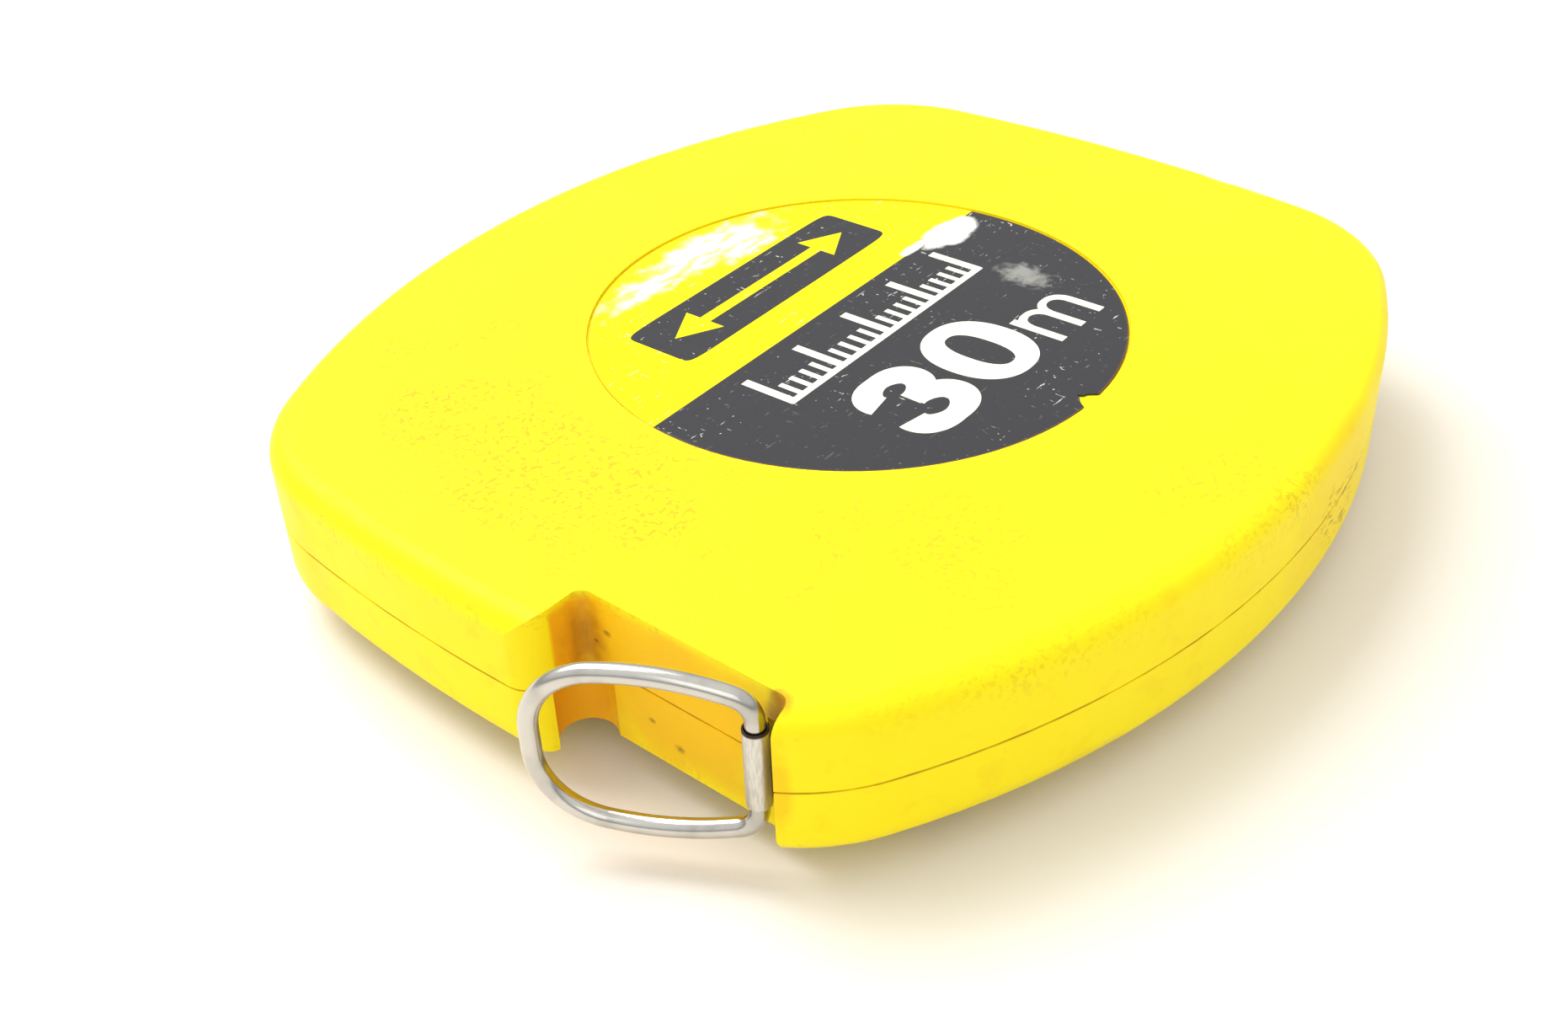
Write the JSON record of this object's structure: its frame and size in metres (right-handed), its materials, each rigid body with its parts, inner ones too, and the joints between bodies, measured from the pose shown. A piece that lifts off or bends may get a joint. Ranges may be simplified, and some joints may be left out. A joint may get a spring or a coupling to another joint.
{
  "type": "tape measure",
  "caption": "Closed-case long tape measure with a steel blade on a drum, a fold-out winding crank on its back and a swinging wire pull ring.",
  "frame": {"origin": "on the drum's axis, at the flat face of the crank hub that the tape stands on", "axes": "+Z from the crank side to the label side, +X along the case's length away from the pull ring, +Y along its width"},
  "size_m": [0.1438, 0.1244, 0.0268],
  "materials": {
    "case_yellow": "finely grained moulded ABS",
    "label_print": "laminated printed sticker, yellow and dark grey",
    "nickel_plate": "bright nickel plate, lightly worn",
    "plain_steel": "bare steel",
    "zinc_steel": "zinc plated",
    "bush_brass": "turned",
    "bearing_nylon": "natural nylon",
    "core_plastic": "moulded",
    "hub_black": "moulded, fine grain",
    "blade_lacquer": "lacquered spring steel with a printed scale"
  },
  "bodies": {
    "case": {"case_top": "case_yellow", "case_bottom": "case_yellow", "case_screws": "zinc_steel", "label_disc": "label_print", "axle_bush": "bush_brass", "hub_bush": "bearing_nylon", "mouth_liner": "plain_steel"},
    "drum": {"drum_core": "core_plastic", "blade_key": "core_plastic", "blade_coil": "blade_lacquer", "coil_disc_upper": "bearing_nylon", "coil_disc_lower": "bearing_nylon", "spring_washer": "plain_steel", "thrust_ring": "bearing_nylon", "crank_hub": "hub_black", "hub_screws": "zinc_steel", "crank_pin": "plain_steel", "crank_leaf": "plain_steel"},
    "crank": {"crank_arm": "nickel_plate", "knob_stud": "nickel_plate", "knob_washer": "bearing_nylon"},
    "knob": {"crank_knob": "hub_black"},
    "blade_end": {"blade_lead": "blade_lacquer", "end_sleeve": "nickel_plate", "end_rivets": "plain_steel"},
    "ring": {"end_ring": "nickel_plate"}
  },
  "joints": [
    {"name": "drum_spin", "type": "hinge", "parent": "case", "child": "drum", "pos_m": [0, 0, 0.014], "axis": [0, 0, -1], "range_deg": [0, 55]},
    {"name": "blade_pull", "type": "slide", "parent": "case", "child": "blade_end", "axis": [-0.9817, 0.1907, 0], "range_m": [0, 0.048]},
    {"name": "ring_swing", "type": "hinge", "parent": "blade_end", "child": "ring", "pos_m": [-0.06505, -0.0383, 0.0144], "axis": [0, 0, 1], "range_deg": [-30, 70]},
    {"name": "crank_fold", "type": "hinge", "parent": "drum", "child": "crank", "pos_m": [0.00819, 0.01794, 0.0015], "axis": [0.5736, -0.8192, 0], "range_deg": [0, 180]},
    {"name": "knob_spin", "type": "hinge", "parent": "crank", "child": "knob", "pos_m": [-0.01884, -0.00099, 0.0068], "axis": [0, 0, 1], "continuous": true}
  ],
  "couplings": [
    {"joint": "blade_pull", "follows": "drum_spin", "m_per_rad": 0.05}
  ]
}
